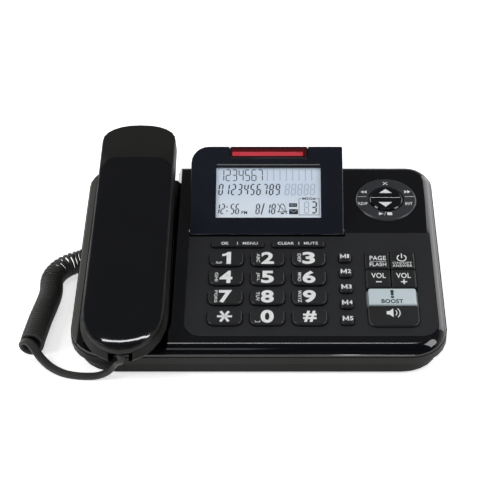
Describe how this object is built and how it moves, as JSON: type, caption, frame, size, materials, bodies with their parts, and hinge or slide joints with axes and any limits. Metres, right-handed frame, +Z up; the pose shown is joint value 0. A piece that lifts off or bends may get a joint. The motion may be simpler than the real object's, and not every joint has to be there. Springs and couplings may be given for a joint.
{
  "type": "amplified telephone",
  "caption": "Sloped desk telephone with a handset in a left cradle, large keys, a tilting display, a ringer light and a curly handset cord.",
  "frame": {"origin": "on the table, under the middle of the base and handset together", "axes": "+X to the right, +Y to the back, +Z up"},
  "size_m": [0.2712, 0.2015, 0.0793],
  "materials": {
    "glossy_black": "glossy",
    "matte_black": "matte",
    "panel_grey": "matte",
    "key_black": "satin",
    "key_white": "satin",
    "slate_black": "satin",
    "red_lens": "glossy",
    "screen_blue": "satin",
    "clear_window": "clear",
    "board_green": "matte",
    "rubber_black": "matte",
    "cord_black": "satin",
    "steel": "brushed",
    "clear_plug": "clear"
  },
  "bodies": {
    "base": {"bottom_housing": "matte_black", "middle_frame": "matte_black", "top_cover": "glossy_black", "keypad_panel": "panel_grey", "circuit_board": "board_green", "keypad_mat": "rubber_black", "base_speaker": "steel", "display_hinge_pin": "steel", "base_cord_jack": "key_black", "line_jack": "key_black", "power_jack": "key_black", "rubber_foot_front_left": "rubber_black", "rubber_foot_back_left": "rubber_black", "rubber_foot_front_right": "rubber_black", "rubber_foot_back_right": "rubber_black", "housing_screw_left": "steel", "housing_screw_right": "steel", "handset_lead": "cord_black", "curly_cord": "cord_black", "base_plug": "clear_plug"},
    "display": {"display_bezel": "slate_black", "display_back_cover": "matte_black", "lcd_window": "clear_window", "lcd_module": "screen_blue", "ringer_light": "red_lens"},
    "handset": {"handset_top_shell": "matte_black", "handset_inlay": "glossy_black", "handset_bottom_shell": "matte_black", "receiver_capsule": "steel", "microphone": "steel", "handset_cord_jack": "key_black", "handset_plug": "clear_plug"},
    "hook_switch": {"hook_switch": "matte_black"},
    "nav_ring": {"nav_ring": "panel_grey"},
    "nav_rocker": {"nav_rocker": "key_black"},
    "menu_rocker": {"menu_rocker": "key_black"},
    "clear_rocker": {"clear_rocker": "key_black"},
    "key_1": {"key_1": "key_black"},
    "key_2": {"key_2": "key_black"},
    "key_3": {"key_3": "key_black"},
    "key_4": {"key_4": "key_black"},
    "key_5": {"key_5": "key_black"},
    "key_6": {"key_6": "key_black"},
    "key_7": {"key_7": "key_black"},
    "key_8": {"key_8": "key_black"},
    "key_9": {"key_9": "key_black"},
    "key_star": {"key_star": "key_black"},
    "key_0": {"key_0": "key_black"},
    "key_hash": {"key_hash": "key_black"},
    "memory_key_1": {"memory_key_1": "key_black"},
    "memory_key_2": {"memory_key_2": "key_black"},
    "memory_key_3": {"memory_key_3": "key_black"},
    "memory_key_4": {"memory_key_4": "key_black"},
    "memory_key_5": {"memory_key_5": "key_black"},
    "page_key": {"page_key": "key_black"},
    "answer_key": {"answer_key": "key_black"},
    "volume_down_key": {"volume_down_key": "key_black"},
    "volume_up_key": {"volume_up_key": "key_black"},
    "boost_key": {"boost_key": "key_white"},
    "speaker_key": {"speaker_key": "key_black"}
  },
  "joints": [
    {"name": "key_1_press", "type": "slide", "parent": "base", "child": "key_1", "axis": [0, 0.1994, -0.9799], "range_m": [0, 0.0013], "stiffness_N_per_m": 600, "springref_m": -0.0005},
    {"name": "key_2_press", "type": "slide", "parent": "base", "child": "key_2", "axis": [0, 0.1994, -0.9799], "range_m": [0, 0.0013], "stiffness_N_per_m": 600, "springref_m": -0.0005},
    {"name": "key_3_press", "type": "slide", "parent": "base", "child": "key_3", "axis": [0, 0.1994, -0.9799], "range_m": [0, 0.0013], "stiffness_N_per_m": 600, "springref_m": -0.0005},
    {"name": "key_4_press", "type": "slide", "parent": "base", "child": "key_4", "axis": [0, 0.1994, -0.9799], "range_m": [0, 0.0013], "stiffness_N_per_m": 600, "springref_m": -0.0005},
    {"name": "key_5_press", "type": "slide", "parent": "base", "child": "key_5", "axis": [0, 0.1994, -0.9799], "range_m": [0, 0.0013], "stiffness_N_per_m": 600, "springref_m": -0.0005},
    {"name": "key_6_press", "type": "slide", "parent": "base", "child": "key_6", "axis": [0, 0.1994, -0.9799], "range_m": [0, 0.0013], "stiffness_N_per_m": 600, "springref_m": -0.0005},
    {"name": "key_7_press", "type": "slide", "parent": "base", "child": "key_7", "axis": [0, 0.1994, -0.9799], "range_m": [0, 0.0013], "stiffness_N_per_m": 600, "springref_m": -0.0005},
    {"name": "key_8_press", "type": "slide", "parent": "base", "child": "key_8", "axis": [0, 0.1994, -0.9799], "range_m": [0, 0.0013], "stiffness_N_per_m": 600, "springref_m": -0.0005},
    {"name": "key_9_press", "type": "slide", "parent": "base", "child": "key_9", "axis": [0, 0.1994, -0.9799], "range_m": [0, 0.0013], "stiffness_N_per_m": 600, "springref_m": -0.0005},
    {"name": "key_star_press", "type": "slide", "parent": "base", "child": "key_star", "axis": [0, 0.1994, -0.9799], "range_m": [0, 0.0013], "stiffness_N_per_m": 600, "springref_m": -0.0005},
    {"name": "key_0_press", "type": "slide", "parent": "base", "child": "key_0", "axis": [0, 0.1994, -0.9799], "range_m": [0, 0.0013], "stiffness_N_per_m": 600, "springref_m": -0.0005},
    {"name": "key_hash_press", "type": "slide", "parent": "base", "child": "key_hash", "axis": [0, 0.1994, -0.9799], "range_m": [0, 0.0013], "stiffness_N_per_m": 600, "springref_m": -0.0005},
    {"name": "memory_key_1_press", "type": "slide", "parent": "base", "child": "memory_key_1", "axis": [0, 0.1994, -0.9799], "range_m": [0, 0.0013], "stiffness_N_per_m": 600, "springref_m": -0.0005},
    {"name": "memory_key_2_press", "type": "slide", "parent": "base", "child": "memory_key_2", "axis": [0, 0.1994, -0.9799], "range_m": [0, 0.0013], "stiffness_N_per_m": 600, "springref_m": -0.0005},
    {"name": "memory_key_3_press", "type": "slide", "parent": "base", "child": "memory_key_3", "axis": [0, 0.1994, -0.9799], "range_m": [0, 0.0013], "stiffness_N_per_m": 600, "springref_m": -0.0005},
    {"name": "memory_key_4_press", "type": "slide", "parent": "base", "child": "memory_key_4", "axis": [0, 0.1994, -0.9799], "range_m": [0, 0.0013], "stiffness_N_per_m": 600, "springref_m": -0.0005},
    {"name": "memory_key_5_press", "type": "slide", "parent": "base", "child": "memory_key_5", "axis": [0, 0.1994, -0.9799], "range_m": [0, 0.0013], "stiffness_N_per_m": 600, "springref_m": -0.0005},
    {"name": "page_key_press", "type": "slide", "parent": "base", "child": "page_key", "axis": [0, 0.1994, -0.9799], "range_m": [0, 0.0013], "stiffness_N_per_m": 600, "springref_m": -0.0005},
    {"name": "answer_key_press", "type": "slide", "parent": "base", "child": "answer_key", "axis": [0, 0.1994, -0.9799], "range_m": [0, 0.0013], "stiffness_N_per_m": 600, "springref_m": -0.0005},
    {"name": "volume_down_key_press", "type": "slide", "parent": "base", "child": "volume_down_key", "axis": [0, 0.1994, -0.9799], "range_m": [0, 0.0013], "stiffness_N_per_m": 600, "springref_m": -0.0005},
    {"name": "volume_up_key_press", "type": "slide", "parent": "base", "child": "volume_up_key", "axis": [0, 0.1994, -0.9799], "range_m": [0, 0.0013], "stiffness_N_per_m": 600, "springref_m": -0.0005},
    {"name": "boost_key_press", "type": "slide", "parent": "base", "child": "boost_key", "axis": [0, 0.1994, -0.9799], "range_m": [0, 0.0013], "stiffness_N_per_m": 600, "springref_m": -0.0005},
    {"name": "speaker_key_press", "type": "slide", "parent": "base", "child": "speaker_key", "axis": [0, 0.1994, -0.9799], "range_m": [0, 0.0013], "stiffness_N_per_m": 600, "springref_m": -0.0005},
    {"name": "nav_ring_press", "type": "slide", "parent": "base", "child": "nav_ring", "axis": [0, 0.1994, -0.9799], "range_m": [0, 0.0011], "stiffness_N_per_m": 900, "springref_m": -0.0005},
    {"name": "nav_rocker_tilt", "type": "hinge", "parent": "base", "child": "nav_rocker", "pos_m": [0.0859, 0.04463, 0.04562], "axis": [1, 0, 0], "range_deg": [-4, 4], "stiffness_Nm_per_rad": 0.2},
    {"name": "menu_rocker_tilt", "type": "hinge", "parent": "base", "child": "menu_rocker", "pos_m": [-0.0146, 0.0013, 0.03762], "axis": [0, 0.9799, 0.1994], "range_deg": [-3.5, 3.5], "stiffness_Nm_per_rad": 0.2},
    {"name": "clear_rocker_tilt", "type": "hinge", "parent": "base", "child": "clear_rocker", "pos_m": [0.0255, 0.0013, 0.03762], "axis": [0, 0.9799, 0.1994], "range_deg": [-3.5, 3.5], "stiffness_Nm_per_rad": 0.2},
    {"name": "display_tilt", "type": "hinge", "parent": "base", "child": "display", "pos_m": [0.0045, 0.01642, 0.04029], "axis": [1, 0, 0], "range_deg": [-24.5, 20.5]},
    {"name": "handset_lift", "type": "slide", "parent": "base", "child": "handset", "axis": [0, -0.1994, 0.9799], "range_m": [0, 0.065]},
    {"name": "hook_switch_rise", "type": "slide", "parent": "base", "child": "hook_switch", "axis": [0, -0.1994, 0.9799], "range_m": [0, 0.004]}
  ],
  "couplings": [
    {"joint": "hook_switch_rise", "follows": "handset_lift", "ratio": 0.06}
  ]
}
